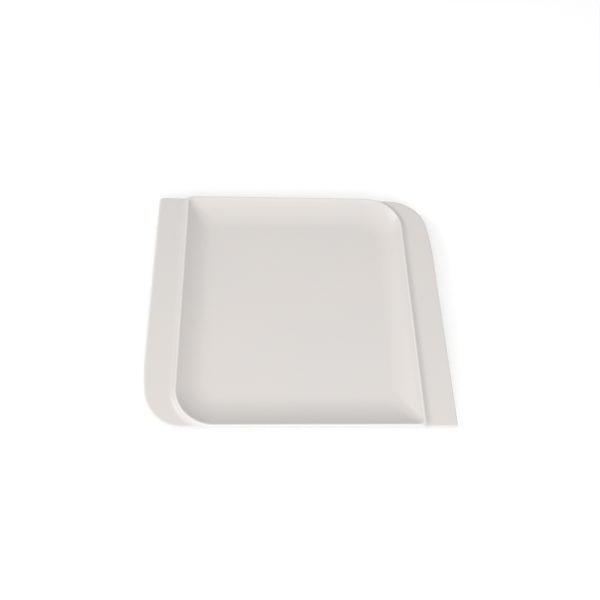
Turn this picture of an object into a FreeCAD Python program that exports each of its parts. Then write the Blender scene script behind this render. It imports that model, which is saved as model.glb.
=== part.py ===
import FreeCAD, Part
import math
import os

# A white porcelain serving dish: a shallow squarish well with a raised lip, and a flat wing
# on its left and its right side. The outline repeats after half a turn about Z: two opposite
# corners are nearly square and the other two are swept round.
#
# Frame: millimetres. Z is up and Z = 0 is the table. X runs from wing to wing, Y from the front
# edge to the back edge. The origin is the middle of the footprint.

# Driving sizes, over the glaze.
total_width = 240.0  # wing edge to wing edge
total_depth = 220.0  # front edge to back edge
lip_width = 189.6  # between the outer edges of the lip's two side ridges
lip_land = 1.2  # flat top of the lip
lip_rise = 3.0  # lip above the wings
step_run = 5.4  # width of the hollow step from the lip down to a wing
well_depth = 10.0  # lip to well floor
side_wall_run = 20.0  # width of the well's left and right walls, seen from above
end_wall_run = 26.0  # width of the well's front and back walls, seen from above
wall_thickness = 4.8  # floor and walls of the well
wing_thickness = 4.5
foot_height = 4.7  # table to the underside of the floor
foot_width = 5.0  # foot ring, across its wall
foot_setback = 3.0  # foot ring inside the edge of the well floor
glaze_thickness = 0.35
bare_height = 1.2  # glaze is wiped off the foot ring up to here

# Corner and edge radii.
lip_square_radius = 4.6  # lip corner, front right and back left
lip_round_radius = 32.0  # lip corner, front left and back right
floor_square_radius = 10.0  # well floor under the lip's square corners
floor_round_radius = 14.0  # well floor under the lip's round corners
wing_square_radius = 3.2
wing_round_radius = 32.0
wing_sweep_radius = 240.0  # slow curve that leads into a wing's round corner
wing_sweep_turn = math.radians(8.0)
wing_edge_share = 0.43  # the most of a wing's thickness that each of its two edge roundings takes
wing_edge_radius = min(1.9, wing_edge_share * wing_thickness)
lip_edge_radius = 1.2
foot_edge_radius = 0.8

# Working allowances, not sizes of the dish.
overrun = 0.5  # how far a cutting or trimmed shape runs past the face it has to clear
wall_levels = 8  # cross sections in each curved wall

# Heights and half sizes that follow from the driving sizes.
floor_top = foot_height + wall_thickness
lip_top = floor_top + well_depth
wing_top = lip_top - lip_rise
wing_bottom = wing_top - wing_thickness
half_width = total_width / 2
half_depth = total_depth / 2
lip_half_width = lip_width / 2
well_half_width = lip_half_width - lip_land
well_half_depth = half_depth - lip_land
floor_half_width = well_half_width - side_wall_run
floor_half_depth = well_half_depth - end_wall_run


def arc_radius(run, rise):
    """Radius of the arc that starts level and climbs by rise over run."""
    return (run * run + rise * rise) / (2 * rise)


side_wall_radius = arc_radius(side_wall_run, well_depth)
end_wall_radius = arc_radius(end_wall_run, well_depth)
step_radius = arc_radius(step_run, lip_rise)


def reach(radius, height):
    """How far an arc that starts level has run when it has climbed by height."""
    return math.sqrt(max(radius * radius - (radius - height) ** 2, 0.0))


def point(x, y, z):
    return FreeCAD.Vector(x, y, z)


def corner_arc(center_x, center_y, radius, start, turn, z):
    """Arc about a centre, from the angle start through the angle turn."""
    angles = [start, start + turn / 2, start + turn]
    ends = [point(center_x + radius * math.cos(a), center_y + radius * math.sin(a), z) for a in angles]
    return Part.Arc(*ends).toShape()


def closed_wire(arcs):
    """Wire of the given arcs with a straight edge from each to the next."""
    edges = []
    for index, arc in enumerate(arcs):
        following = arcs[(index + 1) % len(arcs)]
        edges.append(arc)
        gap = (following.firstVertex(True).Point - arc.lastVertex(True).Point).Length
        if gap > 1e-6:
            straight = Part.makeLine(arc.lastVertex(True).Point, following.firstVertex(True).Point)
            edges.append(straight)
    return Part.Wire(edges)


def rounded_outline(half_x, half_y, square_radius, round_radius, z):
    """Outline with square corners front right and back left, and round ones at the other two."""
    corners = [
        (1, -1, square_radius, -math.pi / 2),
        (1, 1, round_radius, 0.0),
        (-1, 1, square_radius, math.pi / 2),
        (-1, -1, round_radius, math.pi),
    ]
    arcs = []
    for side_x, side_y, radius, start in corners:
        center_x = side_x * (half_x - radius)
        center_y = side_y * (half_y - radius)
        arcs.append(corner_arc(center_x, center_y, radius, start, math.pi / 2, z))
    return closed_wire(arcs)


def wing_outline(inset, z):
    """Outline of the whole dish, seen from above, drawn inset inside its edge."""
    square_radius = wing_square_radius - inset
    round_radius = wing_round_radius - inset
    sweep_radius = wing_sweep_radius - inset
    ease = wing_sweep_radius - wing_round_radius
    sweep_x = half_width - wing_sweep_radius
    sweep_y = half_depth - wing_round_radius - ease * math.sin(wing_sweep_turn)
    round_x = sweep_x + ease * math.cos(wing_sweep_turn)
    round_y = half_depth - wing_round_radius
    square_x = half_width - wing_square_radius
    square_y = half_depth - wing_square_radius
    arcs = []
    for side, start in ((1, 0.0), (-1, math.pi)):
        quarter = math.pi / 2
        left = quarter - wing_sweep_turn
        arcs.append(corner_arc(side * square_x, -side * square_y, square_radius, start - quarter, quarter, z))
        arcs.append(corner_arc(side * sweep_x, side * sweep_y, sweep_radius, start, wing_sweep_turn, z))
        arcs.append(corner_arc(side * round_x, side * round_y, round_radius, start + wing_sweep_turn, left, z))
    return closed_wire(arcs)


def prism(wire, height):
    return Part.Face(wire).extrude(point(0, 0, height))


def level_edges(solid, z):
    """Edges of a solid that lie at height z."""
    return [e for e in solid.Edges if abs(e.BoundBox.ZMin - z) < 1e-6 and abs(e.BoundBox.ZMax - z) < 1e-6]


def dished_solid(bottom, top, side_radius, end_radius):
    """Solid under or in the curved walls: it starts level at the floor's edge and steepens upwards."""
    wires = []
    for level in range(wall_levels + 1):
        height = (top - bottom) * (level / wall_levels) ** 2
        side_run = reach(side_radius, height)
        end_run = reach(end_radius, height)
        share = side_run / side_wall_run
        square_radius = floor_square_radius + (lip_square_radius - floor_square_radius) * share
        round_radius = floor_round_radius + (lip_round_radius - floor_round_radius) * share
        half_x = floor_half_width + side_run
        half_y = floor_half_depth + end_run
        wires.append(rounded_outline(half_x, half_y, square_radius, round_radius, bottom + height))
    return Part.makeLoft(wires, True, False)


def well(skin):
    """Hollow of the dish, cut skin deeper than the glazed surface."""
    bottom = floor_top - skin
    return dished_solid(bottom, lip_top + overrun, side_wall_radius + skin, end_wall_radius + skin)


def bowl(skin):
    """Outside of the floor and walls, up to the level of the wings."""
    bottom = foot_height + skin
    side_radius = side_wall_radius + wall_thickness - skin
    end_radius = end_wall_radius + wall_thickness - skin
    return dished_solid(bottom, wing_top - skin, side_radius, end_radius)


def lip(skin):
    """Raised lip above the wings. Its outside is hollow and runs out level on the wing."""
    radius = step_radius + skin
    wires = []
    for level in range(wall_levels, -1, -1):
        height = lip_rise * (level / wall_levels) ** 2
        out = step_run - reach(radius, height)
        half_x = lip_half_width + out
        half_y = half_depth + overrun + out
        square_radius = lip_square_radius + out
        round_radius = lip_round_radius + out
        wires.append(rounded_outline(half_x, half_y, square_radius, round_radius, wing_top - skin + height))
    return Part.makeLoft(wires, True, False)


def rim_limit(skin):
    """Block that trims the bowl and the lip to the front and back edges of the dish."""
    top = lip_top - skin
    block = prism(wing_outline(skin, 0.0), top)
    return block.makeFillet(lip_edge_radius - skin, level_edges(block, top))


def wings(skin):
    """Flat plate that makes both wings, open in the middle where the bowl is."""
    bottom = wing_bottom + skin
    top = wing_top - skin
    plate = prism(wing_outline(skin, bottom), top - bottom)
    edges = level_edges(plate, bottom) + level_edges(plate, top)
    plate = plate.makeFillet(wing_edge_radius - skin, edges)
    inner_half_x = lip_half_width - wall_thickness
    inner_half_y = half_depth + overrun
    square_radius = lip_square_radius
    round_radius = lip_round_radius + overrun
    opening = rounded_outline(inner_half_x, inner_half_y, square_radius, round_radius, bottom - overrun)
    return plate.cut(prism(opening, wing_thickness + 2 * overrun))


def foot_outline(inset, z):
    """Outline of the foot ring's outer wall, drawn inset inside it."""
    total = foot_setback + inset
    half_x = floor_half_width - total
    half_y = floor_half_depth - total
    square_radius = floor_square_radius - inset
    round_radius = floor_round_radius - inset
    return rounded_outline(half_x, half_y, square_radius, round_radius, z)


def foot(skin):
    """Foot ring with a rounded standing edge, closed over by the floor above it."""
    block = prism(foot_outline(skin, 0.0), foot_height + wall_thickness / 2)
    hollow = prism(foot_outline(foot_width - skin, 0.0), foot_height + skin)
    ring = block.cut(hollow)
    return ring.makeFillet(foot_edge_radius, level_edges(ring, 0.0))


def dish(skin):
    """Whole dish as one solid, skin deep under its glazed surface. The foot stands at Z = 0."""
    rim = bowl(skin).fuse(lip(skin)).common(rim_limit(skin))
    outside = rim.fuse([wings(skin), foot(skin)])
    return outside.cut(well(skin)).removeSplitter()


def porcelain_body():
    """Fired porcelain under the glaze. It is bare on the foot ring's standing edge."""
    return dish(glaze_thickness)


def glaze(body):
    """The two coats of glaze: over the outside, and inside the foot ring's recess."""
    wiped = Part.makeBox(2 * total_width, 2 * total_depth, bare_height)
    wiped.translate(point(-total_width, -total_depth, 0))
    coats = dish(0.0).cut(wiped).cut(body).Solids
    return sorted(coats, key=lambda coat: coat.BoundBox.XLength, reverse=True)


def main():
    os.makedirs("parts", exist_ok=True)
    body = porcelain_body()
    coats = glaze(body)
    nodes = {
        "porcelain_body": body.Solids[0],
        "glaze_coat": coats[0],
        "recess_glaze": coats[1],
    }
    for name, solid in nodes.items():
        solid.exportStep("parts/" + name + ".step")
        box = solid.BoundBox
        print(name, "valid", solid.isValid(), "volume", round(solid.Volume, 1), "box", box)
    print("solids in body", len(body.Solids), "coats", [round(c.Volume, 1) for c in coats])


main()
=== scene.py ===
import logging
import math
from dataclasses import dataclass, field
from enum import Enum

import bpy
import numpy as np
from mathutils import Matrix, Vector


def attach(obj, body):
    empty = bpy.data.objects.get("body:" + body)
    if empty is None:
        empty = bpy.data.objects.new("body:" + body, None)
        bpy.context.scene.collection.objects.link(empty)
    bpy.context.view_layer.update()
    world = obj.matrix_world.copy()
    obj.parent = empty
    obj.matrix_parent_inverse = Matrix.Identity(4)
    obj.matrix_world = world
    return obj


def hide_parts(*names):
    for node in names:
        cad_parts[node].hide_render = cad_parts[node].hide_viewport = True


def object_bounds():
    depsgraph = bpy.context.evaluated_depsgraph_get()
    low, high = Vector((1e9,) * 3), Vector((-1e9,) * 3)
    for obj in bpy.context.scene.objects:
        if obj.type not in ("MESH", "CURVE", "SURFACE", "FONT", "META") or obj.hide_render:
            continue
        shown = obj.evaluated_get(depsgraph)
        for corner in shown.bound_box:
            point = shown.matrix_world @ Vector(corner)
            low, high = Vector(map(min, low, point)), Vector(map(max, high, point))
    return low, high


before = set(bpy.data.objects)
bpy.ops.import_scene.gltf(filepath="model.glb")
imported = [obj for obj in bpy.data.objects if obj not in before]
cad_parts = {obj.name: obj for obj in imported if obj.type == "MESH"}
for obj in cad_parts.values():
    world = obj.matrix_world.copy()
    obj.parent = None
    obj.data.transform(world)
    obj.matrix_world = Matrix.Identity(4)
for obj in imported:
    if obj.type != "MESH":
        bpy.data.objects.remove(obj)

CAD_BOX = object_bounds()
MM = 0.001
QUARTER = math.pi / 2
TIGHT_RADIUS = 1.2 * MM  # a bend as tight as this counts as a full ridge or a full hollow
SMALLEST = 1e-12  # keeps a division from meeting zero
SEAM_ANGLE = math.radians(50.0)  # faces that meet more sharply than this keep a crisp edge
LOG = logging.getLogger("dish")


class Slot(Enum):
    """The record's material slots."""

    GLAZE = "white_glaze"
    BISCUIT = "biscuit_porcelain"


# ---------------------------------------------------------------------------------------------
# Array helpers
# ---------------------------------------------------------------------------------------------


def smooth_step(value: np.ndarray) -> np.ndarray:
    """Three t squared less two t cubed, with t the value held between 0 and 1."""
    t = np.clip(value, 0.0, 1.0)
    return t * t * (3.0 - 2.0 * t)


def lower_blend(first: np.ndarray, second: np.ndarray, width: float) -> np.ndarray:
    """The lower of two heights, with their crossing rounded over.

    Formula: the lower value, less (width - gap) squared over 4 width where the gap between the
    two is less than width.

    Args:
        first: One surface's heights.
        second: The other surface's heights.
        width: Height difference within which the two melt together.

    Returns:
        The blended heights.
    """
    near = np.maximum(width - np.abs(first - second), 0.0)
    return np.minimum(first, second) - near * near / (4.0 * width)


def arc_drop(inside: np.ndarray, radius: np.ndarray) -> np.ndarray:
    """How far a quarter-round edge has dropped at a distance inside the edge.

    Formula: the radius, less the root of its square less (radius - inside) squared.

    Args:
        inside: Distance inside the edge.
        radius: Radius of the round.

    Returns:
        The drop, which is the radius at the edge and 0 from one radius inwards.
    """
    back = np.clip(radius - inside, 0.0, radius)
    return radius - np.sqrt(np.maximum(radius * radius - back * back, 0.0))


def with_height(flat: np.ndarray, height: np.ndarray) -> np.ndarray:
    """Rows of X and Y with heights added as Z."""
    return np.concatenate([flat, np.broadcast_to(height, flat.shape[:2])[..., None]], axis=-1)


def outward_normals(rows: np.ndarray) -> np.ndarray:
    """Unit normals of a grid of points, out of the porcelain.

    Formula: the cross product of the step to the next row and the step to the next station,
    each taken across both neighbours.

    Args:
        rows: Points by row and station. The stations close up and the rows don't.

    Returns:
        The normals, in the same layout.
    """
    along = np.roll(rows, -1, axis=1) - np.roll(rows, 1, axis=1)
    across = np.gradient(rows, axis=0)
    normal = np.cross(across, along)
    return normal / np.maximum(np.linalg.norm(normal, axis=-1, keepdims=True), SMALLEST)


def hollow_share(rows: np.ndarray) -> np.ndarray:
    """How hollow the profile is, from 0 on a sharp ridge through 0.5 on the flat to 1 in a tight hollow.

    Formula: the change of the normal along the profile, over the distance gone, is the bend.
    Half of one less the bend times the tight radius, held between 0 and 1, is the share.

    Args:
        rows: Points by row and station.

    Returns:
        One share for each point.
    """
    normal = outward_normals(rows)
    step = np.gradient(rows, axis=0)
    turn = np.gradient(normal, axis=0)
    bend = np.sum(step * turn, axis=-1) / np.maximum(np.sum(step * step, axis=-1), SMALLEST)
    return np.clip(0.5 * (1.0 - bend * TIGHT_RADIUS), 0.0, 1.0)


def thinned(rows: np.ndarray, step: int) -> np.ndarray:
    """Indices of every so many rows, with the first and the last always among them."""
    return np.unique(np.concatenate([np.arange(0, len(rows), step), [0, len(rows) - 1]]))


def ring_faces(index: np.ndarray) -> tuple[list, list]:
    """Faces between rings of points, and a fan from point 0 to the first ring.

    Args:
        index: Point indices by ring and place round it. The places close up.

    Returns:
        The fan's triangles and the four-cornered faces.
    """
    following = np.roll(index, -1, axis=1)
    quads = np.stack([index[:-1], index[1:], following[1:], following[:-1]], axis=-1).reshape(-1, 4)
    fan = np.stack([np.zeros_like(index[0]), index[0], following[0]], axis=-1)
    return fan.tolist(), quads.tolist()


# ---------------------------------------------------------------------------------------------
# The dish's form
# ---------------------------------------------------------------------------------------------


@dataclass
class Plan:
    """The dish's outline seen from above. It repeats after half a turn."""

    half_width: float
    half_depth: float
    square_radius: float = 3.2 * MM
    round_radius: float = 32.0 * MM
    sweep_radius: float = 240.0 * MM
    sweep_turn: float = math.radians(8.0)

    def outside(self, points: np.ndarray) -> np.ndarray:
        """Signed distance from the outline, positive outside.

        Formula: a point left of the middle is first turned half a turn. Past the square
        corner's centre it is the distance from that centre less the corner's radius, and past
        the round corner's and the slow sweep's centres it is the same for each of those.
        Elsewhere it is the distance past the nearest straight edge. Further inside than the
        square corner's radius it stays at that depth.

        Args:
            points: X and Y on the last axis.

        Returns:
            The distances.
        """
        turned = np.where(points[..., :1] < 0.0, -points, points)
        x, y = turned[..., 0], turned[..., 1]
        square_x = np.maximum(x - (self.half_width - self.square_radius), 0.0)
        square_y = np.maximum(-y - (self.half_depth - self.square_radius), 0.0)
        square = np.hypot(square_x, square_y) - self.square_radius
        ease = self.sweep_radius - self.round_radius
        sweep_x = self.half_width - self.sweep_radius
        sweep_y = self.half_depth - self.round_radius - ease * math.sin(self.sweep_turn)
        round_x = sweep_x + ease * math.cos(self.sweep_turn)
        round_y = self.half_depth - self.round_radius
        round_angle = np.arctan2(y - round_y, x - round_x)
        sweep_angle = np.arctan2(y - sweep_y, x - sweep_x)
        past_round = np.hypot(x - round_x, y - round_y) - self.round_radius
        past_sweep = np.hypot(x - sweep_x, y - sweep_y) - self.sweep_radius
        places = [round_angle > QUARTER, round_angle > self.sweep_turn, sweep_angle > 0.0]
        values = [y - self.half_depth, past_round, past_sweep]
        swept = np.select(places, values, x - self.half_width)
        return np.maximum(square, swept)


@dataclass
class Stations:
    """Places round the lip's ridge line, each with its own outward direction.

    A station sits either on a corner or a share of the way along a straight side, so the same
    stations serve every rounded rectangle inside the dish.
    """

    square_drop: float
    square_along: float
    side_count: int = 54
    end_count: int = 44
    round_count: int = 64
    fan_count: int = 38
    fan_rest: int = 7
    angle: np.ndarray = field(init=False)
    corner: np.ndarray = field(init=False)
    share: np.ndarray = field(init=False)

    def __post_init__(self) -> None:
        """Lays the stations out anticlockwise, from the front right corner."""
        angles, corners, shares = [], [], []
        for corner in range(4):
            start = (corner - 1) * QUARTER
            turn = self.corner_turns(corner)
            count = self.end_count if corner % 2 else self.side_count
            angles += [start + turn, np.full(count, start + QUARTER)]
            corners += [np.full(len(turn) + count, corner)]
            shares += [0.0 * turn, (np.arange(count) + 1.0) / (count + 1.0)]
        self.angle = np.concatenate(angles)
        self.corner = np.concatenate(corners)
        self.share = np.concatenate(shares)

    def corner_turns(self, corner: int) -> np.ndarray:
        """Angles of the stations round one corner, from its start.

        Formula: even steps of angle at a round corner. At a square corner the stations aim at
        evenly spaced places along the wing's front edge, so each angle's tangent is the distance
        along that edge over the drop to it, and even steps of angle finish the quarter turn.

        Args:
            corner: 0 front right, 1 back right, 2 back left, 3 front left.

        Returns:
            The angles, from 0 to a quarter turn.
        """
        if corner % 2:
            return np.linspace(0.0, QUARTER, self.round_count)
        fan = np.arctan2(np.linspace(0.0, self.square_along, self.fan_count), self.square_drop)
        return np.concatenate([fan, np.linspace(fan[-1], QUARTER, self.fan_rest + 1)[1:]])

    @property
    def outward(self) -> np.ndarray:
        """Unit direction out of the dish at each station."""
        return np.stack([np.cos(self.angle), np.sin(self.angle)], axis=-1)

    @property
    def end_share(self) -> np.ndarray:
        """How much each station faces the front or the back: its outward Y squared."""
        return np.sin(self.angle) ** 2

    def ring(
        self, half_x: np.ndarray, half_y: np.ndarray, square: np.ndarray, swept: np.ndarray
    ) -> np.ndarray:
        """Rounded rectangles, one for each row.

        Formula: a corner's centre is the half sizes less its radius, and a corner station is
        that centre plus the radius along the outward direction. A station on a straight side is
        its share of the way from that point of its corner to the same point of the next one.

        Args:
            half_x: Half widths, one for each row.
            half_y: Half depths.
            square: Radii of the front right and back left corners.
            swept: Radii of the other two.

        Returns:
            X and Y by row and station.
        """
        radius = np.stack([square, swept, square, swept], axis=-1)
        center_x = np.array([1.0, 1.0, -1.0, -1.0]) * (half_x[:, None] - radius)
        center_y = np.array([-1.0, 1.0, 1.0, -1.0]) * (half_y[:, None] - radius)
        ends = []
        for corner in (self.corner, (self.corner + 1) % 4):
            x = center_x[:, corner] + radius[:, corner] * np.cos(self.angle)
            y = center_y[:, corner] + radius[:, corner] * np.sin(self.angle)
            ends.append(np.stack([x, y], axis=-1))
        share = self.share[None, :, None]
        return ends[0] * (1.0 - share) + ends[1] * share


@dataclass
class Foot:
    """The foot ring under the dish, as rounded rectangles set in from its outer wall."""

    stations: Stations
    half_x: float
    half_y: float
    square: float
    swept: float
    height: float = 4.7 * MM
    width: float = 5.0 * MM
    edge: float = 0.8 * MM
    fillet: float = 1.2 * MM
    draft: float = 0.25 * MM
    bare: float = 1.2 * MM
    bend_rows: int = 7
    wall_rows: int = 4
    recess_bend_rows: int = 8
    ceiling_rows: int = 16

    def rows(self, inset: np.ndarray, height: np.ndarray) -> np.ndarray:
        """Rows of points round the foot ring.

        Args:
            inset: Distance inside the outer wall, for each row.
            height: Height, for each row.

        Returns:
            The points.
        """
        sizes = (self.half_x, self.half_y, self.square, self.swept)
        flat = self.stations.ring(*(size - inset for size in sizes))
        return with_height(flat, height[:, None])

    def outer_wall(self) -> np.ndarray:
        """Glazed outer wall.

        Formula: a hollow quarter round under the floor, then straight down to the wiped line.

        Returns:
            The rows of points.
        """
        bend = np.linspace(0.0, QUARTER, self.bend_rows)[1:]
        down = np.linspace(0.0, 1.0, self.wall_rows)[1:]
        wall_top = self.height - self.fillet
        inset = np.concatenate([self.fillet * (np.sin(bend) - 1.0), self.draft * down])
        fillet = wall_top + self.fillet * np.cos(bend)
        return self.rows(inset, np.concatenate([fillet, wall_top + (self.bare - wall_top) * down]))

    def standing_edge(self, skin: float) -> np.ndarray:
        """Bare standing edge.

        Formula: a quarter round, the flat that stands on the table, and a quarter round up.

        Args:
            skin: Thickness of the glaze that stops on each side of it.

        Returns:
            The rows of points.
        """
        bend = np.linspace(0.0, QUARTER, self.bend_rows)
        side = self.edge * (1.0 - np.cos(bend))
        low = self.edge * (1.0 - np.sin(bend))
        first = self.draft + skin
        last = self.width - self.draft - skin
        return self.rows(np.concatenate([first + side, last - side[::-1]]), np.concatenate([low, low[::-1]]))

    def recess(self) -> np.ndarray:
        """Glazed recess inside the foot ring.

        Formula: up the inner wall, round a hollow quarter round and in over the level ceiling.

        Returns:
            The rows of points.
        """
        up = np.linspace(0.0, 1.0, self.wall_rows)
        bend = np.linspace(0.0, QUARTER, self.recess_bend_rows)[1:]
        wall_top = self.height - self.fillet
        wall = self.width - self.draft * (1.0 - up)
        inset = np.concatenate([wall, self.width + self.fillet * (1.0 - np.cos(bend))])
        fillet = wall_top + self.fillet * np.sin(bend)
        side = self.rows(inset, np.concatenate([self.bare + (wall_top - self.bare) * up, fillet]))
        shrink = np.linspace(1.0, 0.0, self.ceiling_rows)[1:-1, None, None]
        ceiling = side[-1:] * shrink
        ceiling[..., 2] = self.height
        return np.concatenate([side, ceiling])


@dataclass
class DishForm:
    """Every size of the dish, and the rows of points that its surfaces are made from."""

    half_width: float
    half_depth: float
    lip_top: float
    lip_x: float = 94.2 * MM
    lip_inset: float = 1.2 * MM
    lip_rise: float = 3.0 * MM
    lip_square: float = 4.0 * MM
    lip_swept: float = 30.8 * MM
    ridge: float = 1.2 * MM
    step: float = 5.5 * MM
    well_depth: float = 10.0 * MM
    side_run: float = 20.6 * MM
    end_run: float = 26.6 * MM
    floor_square: float = 10.0 * MM
    floor_swept: float = 14.0 * MM
    floor_sag: float = 0.15 * MM
    wall: float = 4.8 * MM
    wing_thickness: float = 4.5 * MM
    wing_edge: float = 1.9 * MM
    lip_edge: float = 0.8 * MM
    lip_under_edge: float = 1.5 * MM
    edge_change: float = 5.0 * MM
    under_blend: float = 3.0 * MM
    floor_rows: int = 18
    wall_rows: int = 30
    ridge_rows: int = 9
    top_flat_rows: int = 26
    top_edge_rows: int = 9
    under_flat_rows: int = 20
    under_edge_rows: int = 8
    bowl_rows: int = 26
    halvings: int = 40
    nudge: float = 0.05 * MM
    least_square: float = 0.2
    band_limit: float = 0.75
    band_passes: int = 90
    row_crowding: float = 1.25
    bowl_limit: float = 0.9
    foot_setback: float = 3.0 * MM
    glaze: float = 0.35 * MM

    def __post_init__(self) -> None:
        """Works out the ridge line, the stations, the foot and the way out to the edge."""
        self.plan = Plan(self.half_width, self.half_depth)
        self.lip_y = self.half_depth - self.lip_inset
        wing_width = self.half_width - self.lip_x
        self.stations = Stations(self.lip_inset + self.lip_square, wing_width + self.lip_square)
        self.floor_top = self.lip_top - self.well_depth
        self.wing_top = self.lip_top - self.lip_rise
        self.ridge_z = self.lip_top - self.ridge
        foot_x = self.lip_x - self.side_run - self.foot_setback
        foot_y = self.lip_y - self.end_run - self.foot_setback
        self.foot = Foot(self.stations, foot_x, foot_y, self.floor_square, self.floor_swept)
        self.ridge_line = self.inner_ring(np.zeros(1), np.zeros(1))
        self.reach, self.squareness = self.edge_reach()

    def edge_reach(self) -> tuple[np.ndarray, np.ndarray]:
        """Distance from the ridge line out to the outline, and how squarely each ray meets it.

        Formula: the stretch of each ray that holds the outline is halved many times. The second
        value is the change of distance from the outline over a short step along the ray, held
        between a least value and 1.

        Returns:
            The distances and the rates.
        """
        outward = self.stations.outward
        low = np.zeros(len(outward))
        high = np.full(len(outward), self.half_width)
        for _ in range(self.halvings):
            middle = (low + high) / 2.0
            within = self.plan.outside(self.ridge_line[0] + outward * middle[:, None]) < 0.0
            low = np.where(within, middle, low)
            high = np.where(within, high, middle)
        before = self.plan.outside(self.ridge_line[0] + outward * (low - self.nudge)[:, None])
        return low, np.clip(-before / self.nudge, self.least_square, 1.0)

    def wall_radius(self, run: float) -> float:
        """Radius of the well's wall, which leaves the floor level and shares a tangent with the ridge.

        Formula: run squared plus the ridge centre's height over the floor squared, less the
        ridge radius squared, over twice the sum of that height and that radius.
        """
        rise = self.ridge_z - self.floor_top
        return (run**2 + rise**2 - self.ridge**2) / (2.0 * (rise + self.ridge))

    def wall_profile(self, run: float) -> tuple[np.ndarray, np.ndarray]:
        """The well's wall and the inner half of the ridge, from the floor's edge up.

        Formula: the wall is an arc about a centre over the floor's edge, in even steps of
        angle. The ridge is an arc bent the other way, about a centre one ridge radius under its
        top.

        Args:
            run: Distance from the floor's edge to the ridge line.

        Returns:
            Distance inside the ridge line, and height, for every row.
        """
        radius = self.wall_radius(run)
        slope = math.asin(run / (radius + self.ridge))
        climb = np.linspace(0.0, slope, self.wall_rows)
        over = np.linspace(slope, 0.0, self.ridge_rows)[1:]
        inset = np.concatenate([run - radius * np.sin(climb), self.ridge * np.sin(over)])
        up_wall = self.floor_top + radius * (1.0 - np.cos(climb))
        return inset, np.concatenate([up_wall, self.ridge_z + self.ridge * np.cos(over)])

    def lip_height(self, out: np.ndarray) -> np.ndarray:
        """Height of the top outside the ridge line.

        Formula: the ridge's arc, then a hollow arc that shares a tangent with it and runs out
        level, then the flat wing.

        Args:
            out: Distance outside the ridge line.

        Returns:
            The heights.
        """
        hollow_z = self.wing_top + self.step
        both = self.step + self.ridge
        hollow_out = math.sqrt(both**2 - (hollow_z - self.ridge_z) ** 2)
        left = np.maximum(hollow_out - out, 0.0)
        ridge = self.ridge_z + np.sqrt(np.maximum(self.ridge**2 - out * out, 0.0))
        hollow = hollow_z - np.sqrt(np.maximum(self.step**2 - left * left, 0.0))
        return np.where(out < hollow_out * self.ridge / both, ridge, hollow)

    def bowl_height(self, side_inset: np.ndarray, end_inset: np.ndarray) -> np.ndarray:
        """Height of the bowl's outside, one wall thickness outside the well's arcs.

        Formula: the arc's centre height, less the root of its radius squared less the distance
        past the floor's edge squared. Inside the floor's edge it is level, and that distance is
        held short of the whole radius, where the wall would stand upright.

        Args:
            side_inset: Distance inside the ridge line as it counts at the sides.
            end_inset: The same as it counts at the ends.

        Returns:
            The heights, mixed by how much each station faces an end.
        """
        heights = []
        for run, inset in ((self.side_run, side_inset), (self.end_run, end_inset)):
            radius = self.wall_radius(run)
            past = np.clip(run - inset, 0.0, self.bowl_limit * (radius + self.wall))
            heights.append(self.floor_top + radius - np.sqrt((radius + self.wall) ** 2 - past * past))
        return self.mixed(*heights)

    def mixed(self, side: np.ndarray, end: np.ndarray) -> np.ndarray:
        """A value for the sides and one for the ends, mixed by how much each station faces an end."""
        share = self.stations.end_share
        return side * (1.0 - share) + end * share

    def inner_ring(self, side_inset: np.ndarray, end_inset: np.ndarray) -> np.ndarray:
        """Rounded rectangles set in from the ridge line, whose corner radii turn into the floor's.

        Args:
            side_inset: Distance inside the ridge line at the sides, for each row.
            end_inset: The same at the ends.

        Returns:
            X and Y by row and station.
        """
        share = np.clip(side_inset / self.side_run, 0.0, 1.0)
        square = self.lip_square + (self.floor_square - self.lip_square) * share
        swept = self.lip_swept + (self.floor_swept - self.lip_swept) * share
        return self.stations.ring(self.lip_x - side_inset, self.lip_y - end_inset, square, swept)

    def edge_radius(self, at_lip: float) -> np.ndarray:
        """Edge rounding: the lip's own where the lip is the edge, turning into the wing's."""
        share = smooth_step((self.reach - self.lip_inset) / self.edge_change)
        return at_lip + (self.wing_edge - at_lip) * share

    def outer_rays(
        self, flat_rows: int, edge_rows: int, at_lip: float
    ) -> tuple[np.ndarray, np.ndarray, np.ndarray]:
        """Places from the ridge line out to the edge, closer together where the edge rounds over.

        Formula: even shares to a power a little over one, times the way to the rounding, then
        steps whose distance inside the edge is the rounding's width times one less the sine of
        an even angle. That width is averaged with its neighbours' many times, so that it changes
        slowly from ray to ray.

        Args:
            flat_rows: Rows before the rounding.
            edge_rows: Rows in the rounding.
            at_lip: Rounding radius where the lip is the edge.

        Returns:
            Distance outside the ridge line, X and Y, and the edge's drop there.
        """
        radius = self.edge_radius(at_lip)
        band = np.minimum(radius / self.squareness, self.band_limit * self.reach)
        for _ in range(self.band_passes):
            shared = 0.5 * band + 0.25 * (np.roll(band, 1) + np.roll(band, -1))
            band = np.minimum(shared, self.band_limit * self.reach)
        steps = ((np.arange(flat_rows) + 1.0) / flat_rows)[:, None]
        bend = np.linspace(0.0, QUARTER, edge_rows + 1)[1:, None]
        flat = steps**self.row_crowding * (self.reach - band)
        out = np.concatenate([flat, self.reach - band * (1.0 - np.sin(bend))])
        points = self.ridge_line + self.stations.outward[None] * out[..., None]
        inside = np.maximum(-self.plan.outside(points), 0.0)
        inside[-1] = 0.0
        return out, points, arc_drop(inside, radius)

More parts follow.
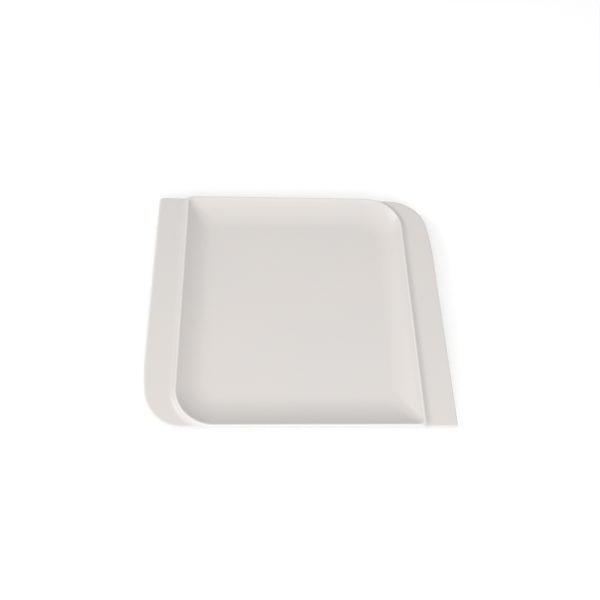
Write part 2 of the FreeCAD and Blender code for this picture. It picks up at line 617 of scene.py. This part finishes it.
    def top(self) -> np.ndarray:
        """The top, from the middle of the floor over the ridge to the outer edge.

        Formula: the floor sags by a share of its sag, one less the square of the distance out,
        squared. The wall, the ridge, the step and the wing follow their own profiles.

        Returns:
            The rows of points.
        """
        side_inset, side_z = self.wall_profile(self.side_run)
        end_inset, end_z = self.wall_profile(self.end_run)
        wall_z = self.mixed(side_z[:, None], end_z[:, None])
        wall = with_height(self.inner_ring(side_inset, end_inset), wall_z)
        shrink = np.linspace(0.0, 1.0, self.floor_rows)[1:-1, None, None]
        floor = wall[:1] * shrink
        floor[..., 2] = self.floor_top - self.floor_sag * (1.0 - shrink[..., 0] ** 2) ** 2
        out, points, drop = self.outer_rays(self.top_flat_rows, self.top_edge_rows, self.lip_edge)
        return np.concatenate([floor, wall, with_height(points, self.lip_height(out) - drop)])

    def underside(self) -> np.ndarray:
        """The underside, from the outer edge in to the foot ring's fillet.

        Formula: the lower of the bowl's outside and a sheet one wing thickness under the top,
        with their crossing rounded over.

        Returns:
            The rows of points.
        """
        limit = self.lip_top - self.wing_thickness
        out, points, drop = self.outer_rays(self.under_flat_rows, self.under_edge_rows, self.lip_under_edge)
        wing_z = self.lip_height(out) - self.wing_thickness
        sheet = lower_blend(self.bowl_height(-out, -out), wing_z, self.under_blend)
        outer = with_height(points, sheet + drop)[::-1]
        share = np.linspace(0.0, 1.0, self.bowl_rows)
        side = share * (self.side_run + self.foot_setback - self.foot.fillet)
        end = share * (self.end_run + self.foot_setback - self.foot.fillet)
        bowl = self.bowl_height(side[:, None], end[:, None])
        inner_z = lower_blend(bowl, np.full_like(bowl, limit), self.under_blend)
        inner = with_height(self.inner_ring(side, end), inner_z)
        return np.concatenate([outer, inner])

    def outer_coat(self) -> np.ndarray:
        """Everything that the outer coat of glaze covers, from the middle of the floor to the wiped line."""
        return np.concatenate([self.top(), self.underside(), self.foot.outer_wall()])


# ---------------------------------------------------------------------------------------------
# Meshes
# ---------------------------------------------------------------------------------------------


def closed_skin(name: str, rows: np.ndarray, hollow: np.ndarray) -> bpy.types.Object:
    """A closed mesh from rows of points, with a single point in the middle of each end.

    Args:
        name: The object's name.
        rows: Points by row and station.
        hollow: One hollow share for each point.

    Returns:
        The object, in the scene, with its hollow shares in a point attribute, from which the glaze paints a
        highlight on ridges and shade in hollows.
    """
    row_count, station_count = rows.shape[:2]
    first, last = rows[0].mean(axis=0), rows[-1].mean(axis=0)
    points = np.concatenate([first[None], rows.reshape(-1, 3), last[None]])
    shares = np.concatenate([[hollow[0].mean()], hollow.reshape(-1), [hollow[-1].mean()]])
    index = 1 + np.arange(row_count * station_count).reshape(row_count, station_count)
    start, quads = ring_faces(index)
    end = np.stack([index[-1], np.full_like(index[0], len(points) - 1), np.roll(index[-1], -1)], axis=-1)
    mesh = bpy.data.meshes.new(name)
    mesh.from_pydata(points.tolist(), [], start + quads + end.tolist())
    mesh.update()
    mesh.polygons.foreach_set("use_smooth", np.ones(len(mesh.polygons), bool))
    mesh.set_sharp_from_angle(angle=SEAM_ANGLE)
    # The glaze reads these shares to paint a highlight on ridges and shade in hollows.
    bend_shade = mesh.attributes.new("painted_bend_shade", "FLOAT", "POINT")
    bend_shade.data.foreach_set("value", shares.astype(np.float32))
    piece = bpy.data.objects.new(name, mesh)
    bpy.context.scene.collection.objects.link(piece)
    return piece


# ---------------------------------------------------------------------------------------------
# Shader node groups
# ---------------------------------------------------------------------------------------------


class Nodes:
    """Adds and joins nodes in one node tree."""

    def __init__(self, tree: bpy.types.NodeTree) -> None:
        """Keeps the tree."""
        self.tree = tree

    def add(self, kind: str, **settings: object) -> bpy.types.Node:
        """Adds a node.

        Args:
            kind: The node's type.
            settings: Properties to set on it.

        Returns:
            The node.
        """
        node = self.tree.nodes.new(kind)
        for name, value in settings.items():
            setattr(node, name, value)
        return node

    def join(self, source: bpy.types.NodeSocket, target: bpy.types.NodeSocket) -> None:
        """Links one socket to another."""
        self.tree.links.new(source, target)

    def math(self, operation: str, first: object, second: object) -> bpy.types.NodeSocket:
        """Works one value out of two.

        Args:
            operation: The Math node's operation.
            first: A number or a socket.
            second: A number or a socket.

        Returns:
            The result's socket.
        """
        node = self.add("ShaderNodeMath", operation=operation)
        for socket, value in zip(node.inputs, (first, second)):
            if isinstance(value, bpy.types.NodeSocket):
                self.join(value, socket)
            else:
                socket.default_value = value
        return node.outputs[0]

    def noise(self, place: bpy.types.NodeSocket, scale: object, detail: float) -> bpy.types.NodeSocket:
        """A noise pattern.

        Args:
            place: Where on the surface.
            scale: How fine it is, as a number or a socket.
            detail: How many finer layers it has.

        Returns:
            The socket of its value, from 0 to 1.
        """
        node = self.add("ShaderNodeTexNoise")
        self.join(place, node.inputs["Vector"])
        if isinstance(scale, bpy.types.NodeSocket):
            self.join(scale, node.inputs["Scale"])
        else:
            node.inputs["Scale"].default_value = scale
        node.inputs["Detail"].default_value = detail
        return node.outputs["Fac"]

    def ramp(self, value: bpy.types.NodeSocket, low: float, high: float) -> bpy.types.NodeSocket:
        """Spreads a value smoothly from 0 to 1, and holds it there.

        Args:
            value: The value's socket.
            low: Where the result is 0. It may be the larger of the two.
            high: Where the result is 1.

        Returns:
            The result's socket.
        """
        node = self.add("ShaderNodeMapRange", interpolation_type="SMOOTHSTEP")
        self.join(value, node.inputs["Value"])
        node.inputs["From Min"].default_value = low
        node.inputs["From Max"].default_value = high
        return node.outputs["Result"]

    def mix(self, share: object, first: object, second: object) -> bpy.types.NodeSocket:
        """Mixes two colours.

        Args:
            share: How much of the second, as a number or a socket.
            first: A colour, as a triple or a socket.
            second: The other colour.

        Returns:
            The mixed colour's socket.
        """
        node = self.add("ShaderNodeMix", data_type="RGBA")
        factor = next(s for s in node.inputs if s.name == "Factor" and s.type == "VALUE")
        colours = [s for s in node.inputs if s.type == "RGBA"]
        for socket, value in zip([factor, *colours], (share, first, second)):
            if isinstance(value, bpy.types.NodeSocket):
                self.join(value, socket)
            else:
                socket.default_value = (*value, 1.0) if socket.type == "RGBA" else value
        return next(s for s in node.outputs if s.type == "RGBA")


def new_group(name: str, inputs: dict[str, float], output: str) -> tuple[bpy.types.NodeTree, Nodes, dict]:
    """A shader node group with value inputs, a place input and one value output.

    Args:
        name: The group's name.
        inputs: Names and first values of its inputs.
        output: Name of its output.

    Returns:
        The group, its node helper, and its input sockets with the output socket under its name.
    """
    tree = bpy.data.node_groups.new(name, "ShaderNodeTree")
    tree.interface.new_socket("Place", in_out="INPUT", socket_type="NodeSocketVector")
    for label, value in inputs.items():
        tree.interface.new_socket(label, in_out="INPUT", socket_type="NodeSocketFloat").default_value = value
    tree.interface.new_socket(output, in_out="OUTPUT", socket_type="NodeSocketFloat")
    nodes = Nodes(tree)
    sockets = {s.name: s for s in nodes.add("NodeGroupInput").outputs}
    sockets[output] = nodes.add("NodeGroupOutput").inputs[output]
    return tree, nodes, sockets


def ripple_group() -> bpy.types.NodeTree:
    """Slow swell and fine pebble of a fired surface, as one height.

    The swell is a coarse noise. The pebble is a fine one, and its share of it is added.

    Returns:
        The group.
    """
    inputs = {"Swell": 28.0, "Pebble": 420.0, "Pebble Share": 0.2}
    tree, nodes, ends = new_group("surface_ripple", inputs, "Height")
    swell = nodes.noise(ends["Place"], ends["Swell"], detail=1.0)
    pebble = nodes.noise(ends["Place"], ends["Pebble"], detail=2.0)
    shared = nodes.math("MULTIPLY", pebble, ends["Pebble Share"])
    nodes.join(nodes.math("ADD", swell, shared), ends["Height"])
    return tree


def speck_group() -> bpy.types.NodeTree:
    """Sparse small specks and pinholes, as a mask that is 1 in a speck.

    Each cell of a fine cell pattern holds a spot at its middle, and only cells whose own random
    value passes the rarity keep theirs.

    Returns:
        The group.
    """
    tree, nodes, ends = new_group("kiln_specks", {"Scale": 220.0, "Size": 0.12, "Rarity": 0.985}, "Mask")
    cells = nodes.add("ShaderNodeTexVoronoi")
    nodes.join(ends["Place"], cells.inputs["Vector"])
    nodes.join(ends["Scale"], cells.inputs["Scale"])
    spot = nodes.math("LESS_THAN", cells.outputs["Distance"], ends["Size"])
    split = nodes.add("ShaderNodeSeparateColor")
    nodes.join(cells.outputs["Color"], split.inputs[0])
    kept = nodes.math("GREATER_THAN", split.outputs[0], ends["Rarity"])
    nodes.join(nodes.math("MULTIPLY", spot, kept), ends["Mask"])
    return tree


def drift_group() -> bpy.types.NodeTree:
    """Slow drift of tone over a surface, as a share from 0 to 1.

    Two noises, one a third of the other's size, are added two to one and spread.

    Returns:
        The group.
    """
    finer, coarse_share, spread = 3.0, 0.67, (0.35, 0.65)
    tree, nodes, ends = new_group("tone_drift", {"Scale": 9.0}, "Share")
    coarse = nodes.noise(ends["Place"], ends["Scale"], detail=2.0)
    fine = nodes.noise(ends["Place"], nodes.math("MULTIPLY", ends["Scale"], finer), detail=3.0)
    coarse_part = nodes.math("MULTIPLY", coarse, coarse_share)
    fine_part = nodes.math("MULTIPLY", fine, 1.0 - coarse_share)
    nodes.join(nodes.ramp(nodes.math("ADD", coarse_part, fine_part), *spread), ends["Share"])
    return tree


@dataclass(frozen=True)
class Effects:
    """The node groups that the finishes share."""

    ripple: bpy.types.NodeTree
    specks: bpy.types.NodeTree
    drift: bpy.types.NodeTree

    @staticmethod
    def place(
        nodes: Nodes, tree: bpy.types.NodeTree, place: bpy.types.NodeSocket, **values: float
    ) -> bpy.types.NodeSocket:
        """Puts a group into a material.

        Args:
            nodes: The material's node helper.
            tree: The group.
            place: Where on the surface.
            values: The group's own inputs, by name.

        Returns:
            The group's output.
        """
        node = nodes.add("ShaderNodeGroup", node_tree=tree)
        nodes.join(place, node.inputs["Place"])
        for name, value in values.items():
            node.inputs[name.replace("_", " ")].default_value = value
        return node.outputs[0]

    def specks_at(self, nodes: Nodes, place: bpy.types.NodeSocket, shape: tuple) -> bpy.types.NodeSocket:
        """The specks, with their scale, size and rarity."""
        scale, size, rarity = shape
        return self.place(nodes, self.specks, place, Scale=scale, Size=size, Rarity=rarity)

    def ripple_at(self, nodes: Nodes, place: bpy.types.NodeSocket, shape: tuple) -> bpy.types.NodeSocket:
        """The ripple, with the scales of its swell and its pebble and the pebble's share."""
        swell, pebble, share = shape
        return self.place(nodes, self.ripple, place, Swell=swell, Pebble=pebble, Pebble_Share=share)


def bump(nodes: Nodes, height: bpy.types.NodeSocket, strength: float, depth: float) -> bpy.types.NodeSocket:
    """A normal bent by a height.

    Args:
        nodes: The material's node helper.
        height: The height's socket.
        strength: How much of the bend shows.
        depth: What a height of one stands for.

    Returns:
        The normal's socket.
    """
    node = nodes.add("ShaderNodeBump")
    node.inputs["Strength"].default_value = strength
    node.inputs["Distance"].default_value = depth
    nodes.join(height, node.inputs["Height"])
    return node.outputs["Normal"]


def new_material(name: str) -> tuple[bpy.types.Material, Nodes, bpy.types.Node, bpy.types.NodeSocket]:
    """An empty node material.

    Args:
        name: The material's name.

    Returns:
        The material, its node helper, its Principled shader and its Object coordinates.
    """
    material = bpy.data.materials.new(name)
    material.use_nodes = True
    nodes = Nodes(material.node_tree)
    shader = next(n for n in material.node_tree.nodes if n.type == "BSDF_PRINCIPLED")
    place = nodes.add("ShaderNodeTexCoord").outputs["Object"]
    return material, nodes, shader, place


@dataclass(frozen=True)
class GlazeFinish:
    """White glaze: soft gloss, with a painted highlight that makes ridges paler and painted shade that makes
    hollows darker, and a few specks.
    """

    name: str = "white_glaze_finish"
    plain: tuple = (0.688, 0.652, 0.626)
    drifted: tuple = (0.678, 0.645, 0.622)
    # Painted highlight colour for ridges, then painted shade colour for hollows.
    painted_ridge_highlight: tuple = (0.715, 0.700, 0.680)
    painted_hollow_shade: tuple = (0.630, 0.606, 0.578)
    speck: tuple = (0.42, 0.38, 0.33)
    roughness: float = 0.33
    ior: float = 1.5
    drift_scale: float = 9.0
    # Hollow shares over which the painted ridge highlight and the painted hollow shade come in.
    ridge_highlight_range: tuple = (0.42, 0.05)
    hollow_shade_range: tuple = (0.53, 0.95)
    speck_shape: tuple = (150.0, 0.055, 0.988)
    speck_strength: float = 0.45
    fog_scale: float = 40.0
    fog_depth: float = 0.07
    ripple_shape: tuple = (30.0, 650.0, 0.05)
    bump_strength: float = 0.25
    bump_depth: float = 0.12 * MM

    def build(self, effects: Effects) -> bpy.types.Material:
        """Builds the material.

        Args:
            effects: The shared node groups.

        Returns:
            The material.
        """
        material, nodes, shader, place = new_material(self.name)
        drift = effects.place(nodes, effects.drift, place, Scale=self.drift_scale)
        colour = nodes.mix(drift, self.plain, self.drifted)
        # Painted highlight on ridges and painted shade in hollows, from how sharply the surface bends there.
        bend_shade = nodes.add("ShaderNodeAttribute", attribute_name="painted_bend_shade").outputs["Fac"]
        colour = nodes.mix(nodes.ramp(bend_shade, *self.ridge_highlight_range), colour, self.painted_ridge_highlight)
        colour = nodes.mix(nodes.ramp(bend_shade, *self.hollow_shade_range), colour, self.painted_hollow_shade)
        specks = effects.specks_at(nodes, place, self.speck_shape)
        colour = nodes.mix(nodes.math("MULTIPLY", specks, self.speck_strength), colour, self.speck)
        nodes.join(colour, shader.inputs["Base Color"])
        cloud = effects.place(nodes, effects.drift, place, Scale=self.fog_scale)
        fog = nodes.math("MULTIPLY", cloud, self.fog_depth)
        nodes.join(nodes.math("ADD", fog, self.roughness), shader.inputs["Roughness"])
        height = effects.ripple_at(nodes, place, self.ripple_shape)
        nodes.join(bump(nodes, height, self.bump_strength, self.bump_depth), shader.inputs["Normal"])
        shader.inputs["IOR"].default_value = self.ior
        return material


@dataclass(frozen=True)
class BiscuitFinish:
    """Bare fired porcelain: matt, warm white, fine grained, with grey scuffs where it stands."""

    name: str = "bare_porcelain_finish"
    plain: tuple = (0.64, 0.60, 0.54)
    drifted: tuple = (0.59, 0.55, 0.49)
    scuff: tuple = (0.47, 0.44, 0.40)
    roughness: float = 0.82
    drift_scale: float = 60.0
    scuff_scale: float = 170.0
    scuff_detail: float = 4.0
    scuff_range: tuple = (0.58, 0.72)
    scuff_strength: float = 0.45
    speck_shape: tuple = (420.0, 0.16, 0.94)
    speck_strength: float = 0.5
    grain_shape: tuple = (300.0, 2600.0, 0.8)
    bump_strength: float = 0.5
    bump_depth: float = 0.06 * MM

    def build(self, effects: Effects) -> bpy.types.Material:
        """Builds the material.

        Args:
            effects: The shared node groups.

        Returns:
            The material.
        """
        material, nodes, shader, place = new_material(self.name)
        drift = effects.place(nodes, effects.drift, place, Scale=self.drift_scale)
        colour = nodes.mix(drift, self.plain, self.drifted)
        scuff = nodes.ramp(nodes.noise(place, self.scuff_scale, self.scuff_detail), *self.scuff_range)
        colour = nodes.mix(nodes.math("MULTIPLY", scuff, self.scuff_strength), colour, self.scuff)
        specks = effects.specks_at(nodes, place, self.speck_shape)
        colour = nodes.mix(nodes.math("MULTIPLY", specks, self.speck_strength), colour, self.scuff)
        nodes.join(colour, shader.inputs["Base Color"])
        grain = effects.ripple_at(nodes, place, self.grain_shape)
        nodes.join(bump(nodes, grain, self.bump_strength, self.bump_depth), shader.inputs["Normal"])
        shader.inputs["Roughness"].default_value = self.roughness
        return material


@dataclass(frozen=True)
class FloorFinish:
    """Plain pale matt floor with a slight glow, which keeps it white round the dish."""

    name: str = "pale_floor_finish"
    plain: tuple = (0.965, 0.965, 0.965)
    drifted: tuple = (0.95, 0.95, 0.95)
    drift_scale: float = 1.5
    roughness: float = 0.9
    glow: float = 0.13

    def build(self, effects: Effects) -> bpy.types.Material:
        """Builds the material.

        Args:
            effects: The shared node groups.

        Returns:
            The material.
        """
        material, nodes, shader, place = new_material(self.name)
        drift = effects.place(nodes, effects.drift, place, Scale=self.drift_scale)
        nodes.join(nodes.mix(drift, self.plain, self.drifted), shader.inputs["Base Color"])
        shader.inputs["Roughness"].default_value = self.roughness
        shader.inputs["Specular IOR Level"].default_value = 0.0
        shader.inputs["Emission Color"].default_value = (1.0, 1.0, 1.0, 1.0)
        shader.inputs["Emission Strength"].default_value = self.glow
        return material


# ---------------------------------------------------------------------------------------------
# Sub-assemblies
# ---------------------------------------------------------------------------------------------


@dataclass
class GlazeCoats:
    """The outer coat of glaze and the coat in the foot ring's recess, each a closed thin skin."""

    form: DishForm
    hidden_step: int = 2

    def build(self, effects: Effects) -> list[bpy.types.Object]:
        """Builds both coats.

        Args:
            effects: The shared node groups.

        Returns:
            The two pieces.
        """
        finish = GlazeFinish().build(effects)
        outer = self.coat("glazed_surface", self.form.outer_coat(), "glaze_coat")
        recess = self.coat("recess_glazed_surface", self.form.foot.recess(), "recess_glaze")
        for piece in (outer, recess):
            piece.data.materials.append(finish)
        return [outer, recess]

    def coat(self, name: str, rows: np.ndarray, node: str) -> bpy.types.Object:
        """One coat: its face, and a hidden back that is the face moved in along its own normals.

        Args:
            name: The piece's name.
            rows: The face's rows of points.
            node: The CAD node that the piece stands for.

        Returns:
            The piece.
        """
        under = rows - outward_normals(rows) * self.form.glaze
        hollow = hollow_share(rows)
        kept = thinned(rows, self.hidden_step)
        if rows[0, 0, 2] > rows[-1, 0, 2]:
            loops = np.concatenate([rows, under[kept][::-1]])
            shares = np.concatenate([hollow, hollow[kept][::-1]])
        else:
            loops = np.concatenate([under[kept][::-1], rows])
            shares = np.concatenate([hollow[kept][::-1], hollow])
        piece = closed_skin(name, loops, shares)
        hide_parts(node)
        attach(piece, "root")
        return piece


@dataclass
class PorcelainBody:
    """The fired porcelain under the glaze, bare on the foot ring's standing edge."""

    form: DishForm

    def build(self, effects: Effects) -> bpy.types.Object:
        """Builds the body: under the outer coat, round the standing edge, and under the recess coat.

        Args:
            effects: The shared node groups.

        Returns:
            The piece.
        """
        faces = (self.form.outer_coat(), self.form.foot.recess())
        outer, recess = (rows - outward_normals(rows) * self.form.glaze for rows in faces)
        loops = np.concatenate([outer, self.form.foot.standing_edge(self.form.glaze), recess])
        piece = closed_skin("porcelain_core", loops, hollow_share(loops))
        piece.data.materials.append(BiscuitFinish().build(effects))
        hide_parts("porcelain_body")
        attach(piece, "root")
        return piece


@dataclass(frozen=True)
class Lamp:
    """One soft round lamp, which faces the dish from a direction."""

    name: str
    azimuth: float
    elevation: float
    distance: float
    size: float
    power: float


@dataclass
class Studio:
    """Plain pale floor, an even sky, soft lamps in front and on the left, and the camera."""

    floor_radius: float = 6.0
    floor_rings: int = 12
    floor_spokes: int = 96
    floor_drop: float = 0.05 * MM
    sky_level: float = 0.66
    lamps: tuple = (
        Lamp("front_softbox", 2.0, 36.0, 1.1, 0.8, 5.9),
        Lamp("left_softbox", -90.0, 33.0, 6.0, 3.0, 102.0),
    )
    camera_azimuth: float = -6.38
    camera_elevation: float = 57.48
    camera_roll: float = 5.80
    camera_distance: float = 617.7 * MM
    camera_lens: float = 44.32
    sensor_width: float = 36.0
    camera_clip: tuple = (0.01, 50.0)
    aim: tuple = (3.22 * MM, 6.44 * MM, 10.0 * MM)

    @staticmethod
    def toward(azimuth: float, elevation: float) -> Vector:
        """Unit direction from the dish to a place at that azimuth and elevation. Azimuth 0 is in front."""
        a, e = math.radians(azimuth), math.radians(elevation)
        return Vector((math.sin(a) * math.cos(e), -math.cos(a) * math.cos(e), math.sin(e)))

    @staticmethod
    def facing(back: Vector, roll: float) -> Matrix:
        """Turn of a lamp or a camera.

        Args:
            back: Direction that its back points along.
            roll: Its roll in degrees.

        Returns:
            The turn.
        """
        right = (-back).cross(Vector((0.0, 0.0, 1.0))).normalized()
        up = right.cross(-back)
        r = math.radians(roll)
        rolled_right = right * math.cos(r) + up * math.sin(r)
        rolled_up = up * math.cos(r) - right * math.sin(r)
        return Matrix((rolled_right, rolled_up, back)).transposed().to_4x4()

    def build(self, effects: Effects) -> None:
        """Builds the floor, the sky, the lamps and the camera.

        Args:
            effects: The shared node groups.
        """
        self.floor(effects)
        self.sky()
        for lamp in self.lamps:
            self.light(lamp)
        self.camera()
        bpy.context.scene.view_settings.view_transform = "Standard"

    def floor(self, effects: Effects) -> None:
        """Flat round floor just under the standing edge.

        Formula: rings of points whose radius grows from 0 in even steps.

        Args:
            effects: The shared node groups.
        """
        radius = self.floor_radius * np.linspace(0.0, 1.0, self.floor_rings)[1:, None]
        angle = np.linspace(0.0, 2.0 * math.pi, self.floor_spokes, endpoint=False)
        level = np.full((radius.size, angle.size), -self.floor_drop)
        rings = np.stack([radius * np.cos(angle), radius * np.sin(angle), level], axis=-1)
        points = np.concatenate([[[0.0, 0.0, -self.floor_drop]], rings.reshape(-1, 3)])
        index = 1 + np.arange(radius.size * angle.size).reshape(radius.size, angle.size)
        middle, quads = ring_faces(index)
        mesh = bpy.data.meshes.new("studio_floor")
        mesh.from_pydata(points.tolist(), [], middle + quads)
        mesh.materials.append(FloorFinish().build(effects))
        floor = bpy.data.objects.new("studio_floor", mesh)
        bpy.context.scene.collection.objects.link(floor)

    def sky(self) -> None:
        """Even white sky."""
        world = bpy.data.worlds.new("studio_sky")
        world.use_nodes = True
        background = next(n for n in world.node_tree.nodes if n.type == "BACKGROUND")
        background.inputs["Color"].default_value = (1.0, 1.0, 1.0, 1.0)
        background.inputs["Strength"].default_value = self.sky_level
        bpy.context.scene.world = world

    def light(self, lamp: Lamp) -> None:
        """Places one lamp.

        Args:
            lamp: The lamp's place, size and power.
        """
        data = bpy.data.lights.new(lamp.name, "AREA")
        data.shape = "DISK"
        data.size = lamp.size
        data.energy = lamp.power
        place = bpy.data.objects.new(lamp.name, data)
        back = self.toward(lamp.azimuth, lamp.elevation)
        place.matrix_world = Matrix.Translation(back * lamp.distance) @ self.facing(back, 0.0)
        bpy.context.scene.collection.objects.link(place)

    def camera(self) -> None:
        """The camera, above and in front of the dish."""
        data = bpy.data.cameras.new("studio_camera")
        data.sensor_width = self.sensor_width
        data.lens = self.camera_lens
        data.clip_start, data.clip_end = self.camera_clip
        camera = bpy.data.objects.new("studio_camera", data)
        back = self.toward(self.camera_azimuth, self.camera_elevation)
        place = Vector(self.aim) + back * self.camera_distance
        camera.matrix_world = Matrix.Translation(place) @ self.facing(back, self.camera_roll)
        bpy.context.scene.collection.objects.link(camera)
        bpy.context.scene.camera = camera


def main() -> None:
    """Builds the dish and the studio in order."""
    logging.basicConfig(level=logging.INFO, format="%(name)s: %(message)s")
    high = CAD_BOX[1]
    form = DishForm(high.x, high.y, high.z)
    effects = Effects(ripple_group(), speck_group(), drift_group())
    Studio().build(effects)
    pieces = [*GlazeCoats(form).build(effects), PorcelainBody(form).build(effects)]
    for piece in pieces:
        LOG.info("%s: %d faces", piece.name, len(piece.data.polygons))


if __name__ == "__main__":
    main()
